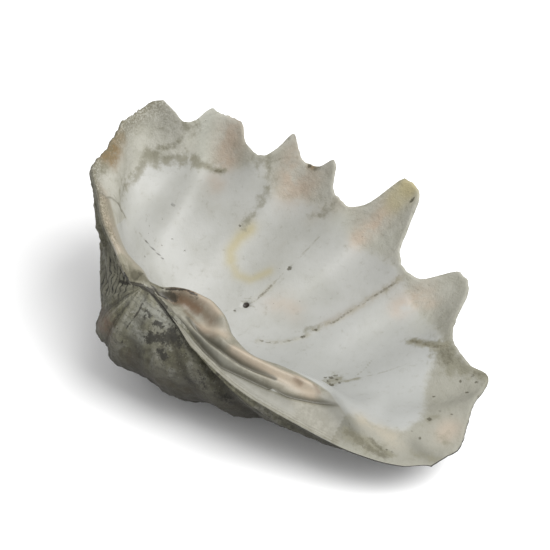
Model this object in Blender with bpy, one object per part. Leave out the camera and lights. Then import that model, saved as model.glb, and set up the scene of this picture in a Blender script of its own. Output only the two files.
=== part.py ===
"""One valve of a giant clam, resting on its belly with the open side up.

The shape is worked out in the valve's own frame, in millimetres: the beak is the origin, X runs
along the hinge line to the rear end, Y to the lower margin and Z out of the open side. The last
step turns the valve into its resting pose and sets it on the ground, in metres with Z up.
"""
import math

import bpy
import numpy as np
from mathutils import Matrix, Vector
from mathutils.bvhtree import BVHTree

MM = 0.001

# Outline of the open side: bearing about the beak in degrees, from the hinge line at the rear
# end round to the front, and distance from the beak.
OUTLINE = (
    (2.5, 403), (10, 420), (20, 420), (32, 410), (44, 391), (58, 360), (72, 326), (87, 302),
    (103, 288), (117, 276), (127, 261), (134, 237), (138, 212), (142, 193), (146, 180),
    (149, 160), (152, 128), (155, 99), (158, 80),
)
FIRST_BEARING = 2.5
LAST_BEARING = 158.0

# How far each bearing grew past the outline: lobes stand above 1, the notches between sink
# below it. The third lobe from the front is broken off between two spikes.
RIM_GROWTH = (
    (2.5, 1.005), (8, 1.015), (14, 1.024), (20, 1.04), (23.5, 1.06), (26.5, 1.006),
    (30.5, 0.983), (35, 1.01), (40.8, 1.066), (43.5, 1.062), (46.3, 0.978), (49, 0.965),
    (52.5, 0.982), (55.5, 1.04), (58.7, 1.102), (62.0, 1.098), (64.2, 1.018), (67, 0.995),
    (71.5, 1.005), (75.2, 1.053), (77.5, 1.02), (80.8, 1.012), (84, 1.035), (86.4, 1.06),
    (88.3, 1.016), (91, 0.996), (95, 1.004), (98.4, 1.035), (103, 1.034), (107, 1.048),
    (110, 1.022), (112.5, 1.015), (119.2, 1.052), (122, 1.038), (125.5, 1.022), (128.5, 1.018),
    (131, 1.026), (133, 1.0), (138, 0.99), (143, 1.0), (158, 1.0),
)

# Bearings of the rib crests and of the furrows between them, in turn, starting at a furrow: at
# the rim, and on the young shell round the beak. They drift from one to the other in between.
RIB_TURNS = (2.5, 9, 15.5, 22, 31.5, 42, 49.5, 60.5, 67.5, 81, 90, 102.5, 111.5, 123.5, 133,
             141, 150, 158)
YOUNG_RIB_TURNS = (2.5, 8, 14, 21, 31, 42, 50, 63, 75, 89, 103, 118, 131, 141, 147, 152, 155, 158)
RIB_DRIFT = (0.6, 0.98)
RIB_HEIGHT = 15.0
RIB_GROWTH = 1.15
# The ribs are full between these bearings and shallower from there to each end of the hinge.
# On the young shell they stay full a little further forward.
FULL_RIBS = (28, 114)
YOUNG_FULL_RIBS = 130
RIB_EASE = (14, 22)
END_RIB_SHARE = 0.35
END_RIB_EASE = (6, 8)

# The valve grows as a spiral about the hinge line: the wall turns by COIL radians for each
# factor of e in size, and the beak curls no further than CURL_LIMIT degrees.
COIL = 1.85
CURL_EASE = 100.0
CURL_LIMIT = 172.0
REAR_STRETCH = 0.62
FRONT_STRETCH = 1.3
STRETCH_BLEND = 30.0
BEAK_TWIST = 0.12

# How deep the belly is against a round coil, by bearing.
BELLY = ((2.5, 0.88), (18, 0.74), (40, 0.78), (60, 0.9), (80, 1.05), (105, 1.07), (130, 0.97),
         (158, 0.9))

# Distance from the hinge line to the back edge of the hinge, by place along the hinge line.
BACK_EDGE = (
    (0, 0), (32, -8), (60, -20), (96, -36), (168, -46), (240, -42), (300, -40), (342, -34),
    (374, -23), (403, -3), (430, 0),
)
BACK_EDGE_FADE = 30.0

# Small steps of bearing and of growth that show which way the wall faces.
SMALL_TURN = 0.05
SMALL_GROWTH = 1.001

# Wall thickness square to the wall, by growth stage.
WALL = ((0.0, 34), (0.35, 30), (0.5, 25), (0.75, 18), (0.9, 12.5), (1.0, 8.5), (1.2, 7.0))
WALL_START = 11.0
# Share of the rib height that still shows inside, by growth stage.
INNER_RIB = ((0.0, 0.0), (0.45, 0.1), (0.7, 0.3), (0.88, 0.65), (1.0, 0.95), (1.2, 1.0))
LIP_WIDTH = 6.5
LIP_DROP = 26.0

# Lower edge of the hinge plate, by place along the hinge line.
PLATE_EDGE = (
    (-110, 72), (-78, 44), (-50, 30), (-20, 20), (0, 10), (14, 13), (30, 24), (52, 32),
    (71, 36), (92, 30), (107, 20), (118, 10), (152, 1), (190, 11), (217, 19), (241, 23),
    (259, 20), (287, 7), (311, -8), (340, -20), (374, -10), (403, 10), (430, 12),
)
PLATE_SLOPE = ((-110, 1.5), (200, 1.8), (260, 1.3), (310, 0.6), (430, 0.35))
PLATE_BLEND = 9.0
PLATE_ROUNDING = 4.0
# The plate starts level with the back edge, settles to this height and rises from there.
PLATE_LEVEL = -3.0
PLATE_SETTLING = 30.0
PLATE_RISE = 0.16

# Ridges and grooves on the hinge plate: name, height, half width and route in X and Y. Each
# fades in and out over the first and last stretch of its route.
FORM_END = 0.8
PLATE_FORMS = (
    ("lateral tooth", 7.5, 6.5, ((94, -2), (122, -11), (157, -8), (194, -1), (222, 6), (256, 13))),
    ("ridge behind it", 3.0, 4.0, ((64, -10), (104, -22), (150, -23), (190, -15), (224, -4))),
    ("lateral groove", -5.5, 3.6, ((66, -4), (94, -12), (126, -17), (152, -17), (194, -11))),
    ("ligament groove", -5.5, 3.4, ((38, -8), (70, -16), (106, -28), (135, -34), (164, -28),
                                    (190, -23), (217, -17), (240, -6), (275, 12))),
    ("front swelling", 8.0, 7.0, ((20, 17), (54, 25), (76, 27), (98, 19), (112, 8))),
    ("hollow below it", -4.0, 8.0, ((40, 8), (62, 9), (84, 4), (104, -2))),
    ("pit under the beak", -8.0, 8.0, ((10, 5), (24, 8), (38, 9), (50, 9))),
)

SHELL_COLOUR = (0.62, 0.60, 0.54, 1.0)
SHELL_ROUGHNESS = 0.55

# Resting pose: the hinge's rear end dips and the lower margin rises by these angles, and the
# valve is turned about the upright so that its hinge line faces the front. The rib crests
# under the belly are worn flat to this depth where the valve lies on them.
REAR_DIPS = 16.6
MARGIN_RISES = 2.1
TURN = -24.4
WORN = 6.0

# Rows from the rim to the beak, and columns across the fan of bearings.
ROWS = 22
COLUMNS = 108
REAR_COLUMN_SHARE = 0.30
REAR_BEARINGS = 30.0
OUTER_ROW_EASE = 1.4
INNER_ROW_EASE = 1.5
END_BLEND = 26.0
# Rows settle from the notched rim to this even growth stage over this share of their number.
EVEN_STAGE = 0.98
SETTLE = 0.5
# Growth stages that the inner face is made from, rim first: the last lies under the hinge plate.
SHEET_STAGES = (1.2, 0.3)
SHEET_FINENESS = (4, 5)
ABOVE_ALL = 500.0
BELOW_ALL = -900.0


def through(points, x):
    """Smooth curve through the points that never swings past them."""
    xs = np.array([p[0] for p in points], float)
    ys = np.array([p[1] for p in points], float)
    step = np.diff(xs)
    slope = np.diff(ys) / step
    tangent = np.zeros_like(ys)
    product = slope[:-1] * slope[1:]
    mean = 2 * product / np.where(product > 0, slope[:-1] + slope[1:], 1.0)
    tangent[1:-1] = np.where(product > 0, mean, 0.0)
    tangent[0] = slope[0]
    tangent[-1] = slope[-1]
    x = np.clip(np.asarray(x, float), xs[0], xs[-1])
    i = np.clip(np.searchsorted(xs, x) - 1, 0, len(xs) - 2)
    t = (x - xs[i]) / step[i]
    return ((2 * t**3 - 3 * t**2 + 1) * ys[i] + (t**3 - 2 * t**2 + t) * step[i] * tangent[i]
            + (3 * t**2 - 2 * t**3) * ys[i + 1] + (t**3 - t**2) * step[i] * tangent[i + 1])


def ramp(x):
    """Smooth step from 0 to 1 as x goes from 0 to 1."""
    x = np.clip(x, 0, 1)
    return x * x * (3 - 2 * x)


def smooth_max(a, b, width):
    """The higher of two heights, with the crease between them rounded."""
    near = np.clip(width - np.abs(a - b), 0, None)
    return np.maximum(a, b) + near * near / (4 * width)


def coil_angle(stage):
    """Angle about the hinge line that the wall has turned through at a growth stage."""
    free = COIL * np.log(1 / np.maximum(stage, 1e-9))
    ease = math.radians(CURL_EASE)
    room = math.radians(CURL_LIMIT) - ease
    return np.where(free < ease, free, ease + room * (1 - np.exp((ease - free) / room)))


def smooth_wall(bearing, stage):
    """Point of the outer wall before the ribs are raised on it."""
    reach = through(OUTLINE, bearing)
    along = reach * np.cos(np.radians(bearing))
    radius = stage * reach * np.sin(np.radians(bearing))
    angle = coil_angle(stage)
    rear = (1 + np.tanh(along / (2 * STRETCH_BLEND))) / 2
    stretch = FRONT_STRETCH + (REAR_STRETCH - FRONT_STRETCH) * rear
    x = along * np.maximum(stage, 1e-9) ** stretch
    x = x + BEAK_TWIST * radius * np.sin(np.maximum(angle, 0))
    back = through(BACK_EDGE, x) * (1 - ramp((bearing - FIRST_BEARING) / BACK_EDGE_FADE))
    depth = -radius * np.sin(angle) * through(BELLY, bearing)
    return np.stack([x, radius * np.cos(angle) + back, depth], -1)


def rib_count(turns, bearing):
    """Number of rib turns passed between the rear end and this bearing."""
    return through(tuple((place, number) for number, place in enumerate(turns)), bearing)


def rib_wave(bearing, stage):
    """1 on a rib's crest and -1 in a furrow, flatter towards both ends of the hinge."""
    young = rib_count(YOUNG_RIB_TURNS, bearing)
    grown = rib_count(RIB_TURNS, bearing)
    share = ramp((stage - RIB_DRIFT[0]) / (RIB_DRIFT[1] - RIB_DRIFT[0]))
    wave = -np.cos(np.pi * (young + (grown - young) * share))
    last_full = YOUNG_FULL_RIBS + (FULL_RIBS[1] - YOUNG_FULL_RIBS) * share
    rear = ramp(1 - (FULL_RIBS[0] - bearing) / RIB_EASE[0])
    front = ramp(1 - (bearing - last_full) / RIB_EASE[1])
    rear_edge = ramp((bearing - FIRST_BEARING) / END_RIB_EASE[0])
    front_edge = ramp((LAST_BEARING - bearing) / END_RIB_EASE[1])
    return wave * (END_RIB_SHARE + (1 - END_RIB_SHARE) * rear * front) * rear_edge * front_edge


def outward(bearing, stage):
    """Direction square to the smooth wall, away from the hollow."""
    here = smooth_wall(bearing, stage)
    across = smooth_wall(bearing + SMALL_TURN, stage) - here
    along = smooth_wall(bearing, stage * SMALL_GROWTH) - here
    normal = np.cross(across, along)
    return normal / (np.linalg.norm(normal, axis=-1, keepdims=True) + 1e-12)


def rib_lift(bearing, stage):
    """How far the ribs stand out from the smooth wall, less than 0 in the furrows."""
    return RIB_HEIGHT * stage ** RIB_GROWTH * rib_wave(bearing, stage)


def outer_wall(bearing, stage):
    """Point of the outer wall with its ribs."""
    lift = rib_lift(bearing, stage)
    return smooth_wall(bearing, stage) + outward(bearing, stage) * lift[..., None]


def inner_sheet(bearing, stage):
    """Point of the wall's inner face, before the hinge plate and the lip are added."""
    lift = rib_lift(bearing, stage) * through(INNER_RIB, stage)
    rear = ramp((bearing - FIRST_BEARING) / WALL_START)
    front = ramp((LAST_BEARING - bearing) / WALL_START)
    depth = through(WALL, stage) * rear * front
    return smooth_wall(bearing, stage) + outward(bearing, stage) * (lift - depth)[..., None]


def column_bearings(count):
    """Bearings of the columns, closer together over the narrow rear of the hinge."""
    rear = int(count * REAR_COLUMN_SHARE)
    first = np.linspace(FIRST_BEARING, REAR_BEARINGS, rear + 1)[:-1]
    return np.concatenate([first, np.linspace(REAR_BEARINGS, LAST_BEARING, count - rear)])


def row_settling(rows):
    """How much of the rim's own notches each row still follows: 1 at the rim, 0 further in."""
    return ramp(1 - np.arange(rows) / (SETTLE * rows))[:, None]


def outer_grid(bearings, rows):
    """Outer wall from the rim (row 0) to the last row before the beak."""
    notched = through(RIM_GROWTH, bearings) - EVEN_STAGE
    share = (1 - np.arange(rows) / rows) ** OUTER_ROW_EASE
    stage = share[:, None] * (EVEN_STAGE + row_settling(rows) * notched)
    return outer_wall(np.broadcast_to(bearings, stage.shape), stage)


def inner_plan(outer, bearings):
    """Plan positions of the inner face: rays from rim to beak, drawn out to both end columns."""
    rows = len(outer)
    plan = outer[:, :, :2]
    rim = plan[0]
    even = 1 - (np.arange(rows) / rows) ** INNER_ROW_EASE
    rear_share = plan[:, 0, 0] / rim[0, 0]
    front_share = np.linalg.norm(plan[:, -1], axis=-1) / np.linalg.norm(rim[-1])
    near_rear = 1 - ramp((bearings - FIRST_BEARING) / END_BLEND)
    near_front = 1 - ramp((LAST_BEARING - bearings) / END_BLEND)
    share = (even[:, None] * (1 - near_rear - near_front)
             + rear_share[:, None] * near_rear + front_share[:, None] * near_front)
    rear_gap = plan[:, 0] - rear_share[:, None] * rim[0]
    front_gap = plan[:, -1] - front_share[:, None] * rim[-1]
    even_rim = smooth_wall(bearings, np.full(len(bearings), EVEN_STAGE))[:, :2]
    settling = np.maximum(row_settling(rows), np.maximum(near_rear, near_front))
    goal = even_rim + settling[..., None] * (rim - even_rim)
    return (share[..., None] * goal
            + near_rear[None, :, None] * rear_gap[:, None]
            + near_front[None, :, None] * front_gap[:, None])


def nearest_on_route(points, route):
    """Distance from each plan point to a route, and the place along the route as a number."""
    best = np.full(points.shape[:-1], 1e9)
    place = np.zeros(points.shape[:-1])
    for i in range(len(route) - 1):
        start = np.asarray(route[i][:2], float)
        run = np.asarray(route[i + 1][:2], float) - start
        share = np.clip(((points - start) @ run) / (run @ run + 1e-12), 0, 1)
        gap = np.linalg.norm(points - start - share[..., None] * run, axis=-1)
        closer = gap < best
        best = np.where(closer, gap, best)
        place = np.where(closer, i + share, place)
    return best, place


def plate_height(points, back_column):
    """Top of the hinge plate and of the narrow ledge that carries on from it to both ends."""
    gap, place = nearest_on_route(points, back_column)
    edge_level = np.interp(place, np.arange(len(back_column)), back_column[:, 2])
    level = edge_level + (PLATE_LEVEL - edge_level) * ramp(gap / PLATE_SETTLING) + PLATE_RISE * gap
    for _, height, width, route in PLATE_FORMS:
        distance, along = nearest_on_route(points, route)
        ends = ramp(np.minimum(along, len(route) - 1 - along) / FORM_END)
        level = level + height * ends * np.exp(-((distance / width) ** 2))
    past = points[..., 1] - through(PLATE_EDGE, points[..., 0]) + PLATE_ROUNDING
    soft = np.where(past > 0, past**2 / (past + 3 * PLATE_ROUNDING), 0.0)
    return level - through(PLATE_SLOPE, points[..., 0]) * soft


def sheet_tree(bearings, rows):
    """Search tree of the inner sheet, which runs a little past the rim."""
    stages = np.linspace(*SHEET_STAGES, rows)
    grid = inner_sheet(*np.broadcast_arrays(bearings[None, :], stages[:, None]))
    count = len(bearings)
    faces = []
    for j in range(rows - 1):
        for i in range(count - 1):
            near = j * count + i
            faces.append((near, near + 1, near + count + 1, near + count))
    return BVHTree.FromPolygons(grid.reshape(-1, 3).tolist(), faces)


def sheet_height(tree, points):
    """Height of the inner sheet over each plan point, seen from above."""
    down = Vector((0, 0, -1))
    flat = points.reshape(-1, 2)
    heights = np.full(len(flat), BELOW_ALL)
    for n, (x, y) in enumerate(flat):
        hit = tree.ray_cast(Vector((x, y, ABOVE_ALL)), down)[0]
        if hit is not None:
            heights[n] = hit.z
    return heights.reshape(points.shape[:-1])


def inner_grid(outer, bearings):
    """Inner face on the plan positions of its rows and columns."""
    points = inner_plan(outer, bearings)
    finer = SHEET_FINENESS
    tree = sheet_tree(column_bearings(finer[0] * len(bearings)), finer[1] * len(outer))
    bowl = sheet_height(tree, points)
    rim = outer[0]
    distance, place = nearest_on_route(points, rim)
    turn = np.arange(len(rim))
    wall = np.clip(bowl[0] - rim[:, 2], 0, LIP_DROP)
    missing = np.interp(place, turn, wall)
    round_off = np.sqrt(1 - np.clip(1 - distance / LIP_WIDTH, 0, 1) ** 2)
    bowl = bowl - missing * (1 - round_off)
    edge = np.concatenate([outer[:, 0], outer[::-1, -1]])
    height = smooth_max(bowl, plate_height(points, edge), PLATE_BLEND)
    return np.concatenate([points, height[..., None]], -1)


def fan_faces(index, beak):
    """Quads between the rows and columns of one fan, closed at the beak by triangles."""
    faces = []
    rows, columns = index.shape
    for j in range(rows - 1):
        for i in range(columns - 1):
            corners = (index[j, i], index[j, i + 1], index[j + 1, i + 1], index[j + 1, i])
            faces.append(tuple(int(c) for c in corners))
    for i in range(columns - 1):
        faces.append((int(index[-1, i]), int(index[-1, i + 1]), beak))
    return faces


def valve_mesh(rows, columns):
    """Points and faces of the closed valve: both fans share the rim and the two end columns."""
    bearings = column_bearings(columns)
    outer = outer_grid(bearings, rows)
    inner = inner_grid(outer, bearings)
    points = [tuple(p) for p in outer.reshape(-1, 3)]
    beak = len(points)
    points.append((0.0, 0.0, 0.0))
    index = np.arange(rows * columns).reshape(rows, columns)
    inner_index = index.copy()
    for j in range(1, rows):
        for i in range(1, columns - 1):
            inner_index[j, i] = len(points)
            points.append(tuple(inner[j, i]))
    faces = [face[::-1] for face in fan_faces(index, beak)]
    faces += fan_faces(inner_index, beak)
    return points, faces


def resting_turn():
    """Rotation from the valve's own frame to the resting pose."""
    dip = math.radians(REAR_DIPS)
    rise = math.radians(MARGIN_RISES)
    up = Vector((-math.sin(dip), math.cos(dip) * math.sin(rise), math.cos(dip) * math.cos(rise)))
    along = (Vector((1, 0, 0)) - up * up.x).normalized()
    level = Matrix((along, up.cross(along), up))
    return Matrix.Rotation(math.radians(TURN), 3, "Z") @ level


def resting_points(points, outer_count):
    """Points in metres in the resting pose, centred over the origin, with the belly worn flat."""
    turned = np.array(points) @ np.array(resting_turn()).T
    floor = turned[:, 2].min() + WORN
    belly = turned[:outer_count]
    belly[:, 2] = np.maximum(belly[:, 2], floor)
    low = turned.min(axis=0)
    high = turned.max(axis=0)
    centre = np.array([(low[0] + high[0]) / 2, (low[1] + high[1]) / 2, floor])
    return (turned - centre) * MM


def make_material():
    """Weathered shell: chalky off-white with a dull sheen."""
    material = bpy.data.materials.new("weathered_shell")
    material.use_nodes = True
    shader = material.node_tree.nodes["Principled BSDF"]
    shader.inputs["Base Color"].default_value = SHELL_COLOUR
    shader.inputs["Roughness"].default_value = SHELL_ROUGHNESS
    shader.inputs["Metallic"].default_value = 0.0
    return material


def clear_scene():
    """Remove the objects of the startup scene."""
    for item in list(bpy.data.objects):
        bpy.data.objects.remove(item, do_unlink=True)


def make_valve():
    """The valve as one object in its own collection."""
    collection = bpy.data.collections.new("giant_clam_shell")
    bpy.context.scene.collection.children.link(collection)
    points, faces = valve_mesh(ROWS, COLUMNS)
    mesh = bpy.data.meshes.new("clam_valve")
    mesh.from_pydata(resting_points(points, ROWS * COLUMNS).tolist(), [], faces)
    mesh.materials.append(make_material())
    valve = bpy.data.objects.new("clam_valve", mesh)
    collection.objects.link(valve)
    return valve


clear_scene()
make_valve()
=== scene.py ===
"""Looks of the giant clam valve: a fine copy of its solid with weathered relief and colour."""
import math

import bpy
import numpy as np
from mathutils import Matrix, Vector, noise
from mathutils.bvhtree import BVHTree


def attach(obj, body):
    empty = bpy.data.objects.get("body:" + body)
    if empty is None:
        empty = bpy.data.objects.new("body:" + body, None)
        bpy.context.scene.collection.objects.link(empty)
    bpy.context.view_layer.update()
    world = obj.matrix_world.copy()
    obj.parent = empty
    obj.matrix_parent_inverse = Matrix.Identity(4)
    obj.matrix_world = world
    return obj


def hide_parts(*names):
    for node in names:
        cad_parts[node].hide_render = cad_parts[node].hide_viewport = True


MM = 0.001

# The valve's form: the same values as its solid. Millimetres and degrees, from the beak, with X
# along the hinge line, Y to the lower margin and Z out of the open side.
OUTLINE = (
    (2.5, 403), (10, 420), (20, 420), (32, 410), (44, 391), (58, 360), (72, 326), (87, 302),
    (103, 288), (117, 276), (127, 261), (134, 237), (138, 212), (142, 193), (146, 180),
    (149, 160), (152, 128), (155, 99), (158, 80),
)
FIRST_BEARING = 2.5
LAST_BEARING = 158.0
RIM_GROWTH = (
    (2.5, 1.005), (8, 1.015), (14, 1.024), (20, 1.04), (23.5, 1.06), (26.5, 1.006),
    (30.5, 0.983), (35, 1.01), (40.8, 1.066), (43.5, 1.062), (46.3, 0.978), (49, 0.965),
    (52.5, 0.982), (55.5, 1.04), (58.7, 1.102), (62.0, 1.098), (64.2, 1.018), (67, 0.995),
    (71.5, 1.005), (75.2, 1.053), (77.5, 1.02), (80.8, 1.012), (84, 1.035), (86.4, 1.06),
    (88.3, 1.016), (91, 0.996), (95, 1.004), (98.4, 1.035), (103, 1.034), (107, 1.048),
    (110, 1.022), (112.5, 1.015), (119.2, 1.052), (122, 1.038), (125.5, 1.022), (128.5, 1.018),
    (131, 1.026), (133, 1.0), (138, 0.99), (143, 1.0), (158, 1.0),
)
RIB_TURNS = (2.5, 9, 15.5, 22, 31.5, 42, 49.5, 60.5, 67.5, 81, 90, 102.5, 111.5, 123.5, 133,
             141, 150, 158)
YOUNG_RIB_TURNS = (2.5, 8, 14, 21, 31, 42, 50, 63, 75, 89, 103, 118, 131, 141, 147, 152, 155, 158)
RIB_DRIFT = (0.6, 0.98)
RIB_HEIGHT = 15.0
RIB_GROWTH = 1.15
FULL_RIBS = (28, 114)
YOUNG_FULL_RIBS = 130
RIB_EASE = (14, 22)
END_RIB_SHARE = 0.35
END_RIB_EASE = (6, 8)
COIL = 1.85
CURL_EASE = 100.0
CURL_LIMIT = 172.0
REAR_STRETCH = 0.62
FRONT_STRETCH = 1.3
STRETCH_BLEND = 30.0
BEAK_TWIST = 0.12
BELLY = ((2.5, 0.88), (18, 0.74), (40, 0.78), (60, 0.9), (80, 1.05), (105, 1.07), (130, 0.97),
         (158, 0.9))
BACK_EDGE = (
    (0, 0), (32, -8), (60, -20), (96, -36), (168, -46), (240, -42), (300, -40), (342, -34),
    (374, -23), (403, -3), (430, 0),
)
BACK_EDGE_FADE = 30.0
SMALL_TURN = 0.05
SMALL_GROWTH = 1.001
WALL = ((0.0, 34), (0.35, 30), (0.5, 25), (0.75, 18), (0.9, 12.5), (1.0, 8.5), (1.2, 7.0))
WALL_START = 11.0
INNER_RIB = ((0.0, 0.0), (0.45, 0.05), (0.7, 0.18), (0.88, 0.52), (1.0, 0.95), (1.2, 1.0))
LIP_WIDTH = 6.5
LIP_DROP = 26.0
PLATE_EDGE = (
    (-110, 72), (-78, 44), (-50, 30), (-20, 20), (0, 10), (14, 13), (30, 24), (52, 32),
    (71, 36), (92, 30), (107, 20), (118, 10), (152, 1), (190, 11), (217, 19), (241, 23),
    (259, 20), (287, 7), (311, -8), (340, -20), (374, -10), (403, 10), (430, 12),
)
PLATE_SLOPE = ((-110, 1.5), (200, 1.8), (260, 1.3), (310, 0.6), (430, 0.35))
PLATE_BLEND = 9.0
# In front of the beak the ledge melts into the bowl.
LEDGE_BLEND = 26.0
LEDGE_START = 4.0
PLATE_ROUNDING = 4.0
PLATE_LEVEL = -3.0
PLATE_SETTLING = 30.0
PLATE_RISE = 0.16
FORM_END = 0.8
PLATE_FORMS = (
    ("lateral tooth", 7.5, 6.5, ((94, -2), (122, -11), (157, -8), (194, -1), (222, 6), (256, 13))),
    ("ridge behind it", 3.0, 4.0, ((64, -10), (104, -22), (150, -23), (190, -15), (224, -4))),
    ("lateral groove", -5.5, 3.6, ((66, -4), (94, -12), (126, -17), (152, -17), (194, -11))),
    ("ligament groove", -5.5, 3.4, ((38, -8), (70, -16), (106, -28), (135, -34), (164, -28),
                                    (190, -23), (217, -17), (240, -6), (275, 12))),
    ("front swelling", 8.0, 7.0, ((20, 17), (54, 25), (76, 27), (98, 19), (112, 8))),
    ("hollow below it", -4.0, 8.0, ((40, 8), (62, 9), (84, 4), (104, -2))),
    ("pit under the beak", -8.0, 8.0, ((10, 5), (24, 8), (38, 9), (50, 9))),
)
REAR_DIPS = 16.6
MARGIN_RISES = 2.1
TURN = -24.4
WORN = 6.0
ROWS = 22
COLUMNS = 108
REAR_COLUMN_SHARE = 0.30
REAR_BEARINGS = 30.0
OUTER_ROW_EASE = 1.4
INNER_ROW_EASE = 1.5
END_BLEND = 26.0
EVEN_STAGE = 0.98
SETTLE = 0.5
SHEET_STAGES = (1.2, 0.3)
ABOVE_ALL = 500.0
BELOW_ALL = -900.0

# The fine copy: rows, columns, and how finely its inner sheet is cut.
FINE_ROWS = 124
FINE_COLUMNS = 400
SHEET_SIZE = (640, 170)
# The light bleaches the floor, so the shell is this much darker than it looks.
SHADE = 0.605
# How far the ribs round the beak are worn down, in millimetres.
YOUNG_RIB_WEAR = 0.9
# Growth steps from beak to rim, how they crowd outwards, and riblets in one radian.
GROWTH_STEPS = 26
STEP_CROWDING = 0.7
RIBLETS = 62
# The wrinkled field in front of the beak: centre, reach, waves along each axis and height.
WRINKLE_CENTRE = (-42, 8, -22)
WRINKLE_REACH = (44, 34, 34)
WRINKLE_RUN = (0.34, 0.1, 0.3)
WRINKLE_HEIGHT = 1.5
# Inner relief: the step at the lining's edge, then height or depth and width of each form.
LINING_STEP = 0.5
FOLD_CREASE = (0.8, 2.6)
CRACK_CUT = (0.9, 1.6)
HOLE_CUT = (4.0, 4.2)
LAMINA_HEIGHT = 0.3
LAMINA_TURN = 1.15
# Relief goes no further into the wall than this share of its thickness.
INWARD_SHARE = 0.3
# The hinge plate's colours run between these places along X, and fade over this much.
PLATE_SPAN = (-6, 306)
PLATE_FADE = 14
LINING_FADE = 8
# Bearings where the front rim darkens and crumbles, and where the rear darkens.
FRONT_RIM_BEARING = 112
FRONT_CRUMBS = (118, 146)
REAR_PAINT_BEARING = 58
# A distance past every mark.
FAR = 999.0

# Light and floor in metres and watts, and the brightness of the surround.
LIGHT_PLACE = (0.8, -0.4, 1.6)
LIGHT_AIM = (0.05, 0, 0.1)
LIGHT_SIZE = 1.7
LIGHT_POWER = 54.0
SURROUND = 0.78
FLOOR_HALF = 30.0
FLOOR_WHITE = 0.92

# The camera's directions, and its place from the beak along them, in metres.
CAMERA_RIGHT = (0.9962, 0.0562, 0.067)
CAMERA_UP = (-0.0874, 0.6401, 0.7633)
CAMERA_BACK = (0, -0.7662, 0.6425)
CAMERA_OFFSET = (0.1572, 0.0132, 2.04)
SENSOR = 36.0
FOCAL_PIXELS = 1700
IMAGE_PIXELS = 550

# Colour sockets of the Mix node.
MIX_UNDER = 6
MIX_OVER = 7
MIX_RESULT = 2

# Colours as they look on a screen, 0 to 255.
PALETTE = {
    "bowl": (191, 191, 186), "bowl_shade": (180, 180, 173), "bowl_cloud": (174, 172, 162),
    "rear_bowl": (170, 172, 170), "band": (185, 183, 171), "band_shade": (173, 171, 157),
    "band_mottle": (160, 158, 142), "band_speck": (134, 132, 116), "rear_band": (142, 140, 126),
    "ledge": (148, 140, 120), "white": (190, 190, 179), "cream": (182, 174, 156),
    "pink": (188, 170, 151), "yellow": (180, 168, 122), "ochre": (138, 115, 80),
    "plate": (150, 147, 133), "plate_shade": (130, 127, 112), "pale_grey": (144, 143, 133),
    "lamina": (98, 95, 80), "beige": (182, 167, 147), "dark_grey": (108, 107, 97),
    # The brown colour is partly stain and partly painted shade below the hinge swelling.
    # The groove colour is painted shade in the hinge plate's grooves.
    # The pit colour is a painted shadow under the hinge ledge.
    "brown": (112, 90, 68), "groove": (84, 81, 68), "pit": (58, 54, 42), "stain": (132, 129, 110),
    "dirt": (100, 96, 78), "beside_line": (168, 163, 142), "line": (104, 98, 78),
    "fine_line": (130, 126, 106), "scratch": (92, 90, 84), "crack": (118, 114, 98),
    "rim": (120, 118, 104), "front_rim": (112, 106, 82), "dot": (84, 80, 64),
    "hole_halo": (128, 122, 104), "hole": (44, 35, 24), "speck": (96, 92, 80),
    "outside": (120, 118, 98), "outside_shade": (84, 81, 60), "chalk": (146, 145, 134),
    # The rib crest and furrow colours are a painted highlight and painted shade on the ribs.
    "outside_stain": (44, 42, 34), "painted_rib_highlight": (150, 148, 134), "furrow": (54, 51, 40),
    "outer_ochre": (98, 83, 53), "outer_pale": (142, 142, 132), "outer_pink": (128, 104, 88),
    "outer_dark": (40, 38, 31), "freckle": (44, 42, 31), "fleck": (164, 162, 150),
    # The wrinkle furrow colour is painted shade in the wrinkles' troughs.
    "growth_ring": (62, 59, 46), "painted_wrinkle_shade": (30, 28, 21), "wrinkle_crest": (122, 120, 104),
    # The under-side colour is painted shade near the floor.
    "wrinkle_dust": (84, 82, 70), "painted_floor_shade": (32, 29, 19), "seam": (38, 35, 26),
}

# Where the bowl's white lining ends, in X and Y from the beak.
PALLIAL = (
    (-93, 126), (-106, 134), (-112, 153), (-116, 178), (-115, 197), (-100, 214), (-83, 227),
    (-65, 250), (-47, 262), (-25, 267), (-9, 270), (4, 274), (18, 277), (36, 280), (54, 286),
    (75, 290), (98, 288), (116, 286), (138, 286), (158, 284), (187, 284), (216, 270),
    (240, 256), (261, 248), (284, 240), (308, 218), (328, 193), (335, 163), (340, 144),
    (350, 120), (361, 74), (351, 44), (326, 36), (304, 30), (286, 10),
)
# Corners that close that line behind the hinge.
BEHIND_HINGE = ((293, -80), (-70, -80), (-80, 60))
# Where the white lining begins beyond the hinge plate and the front ledge, in X and Y.
LINING_EDGE = (
    (-120, 112), (-90, 78), (-60, 54), (-30, 36), (0, 30), (30, 36), (60, 42), (90, 38),
    (120, 26), (150, 17), (200, 14), (255, 18), (306, -3),
)
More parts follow.
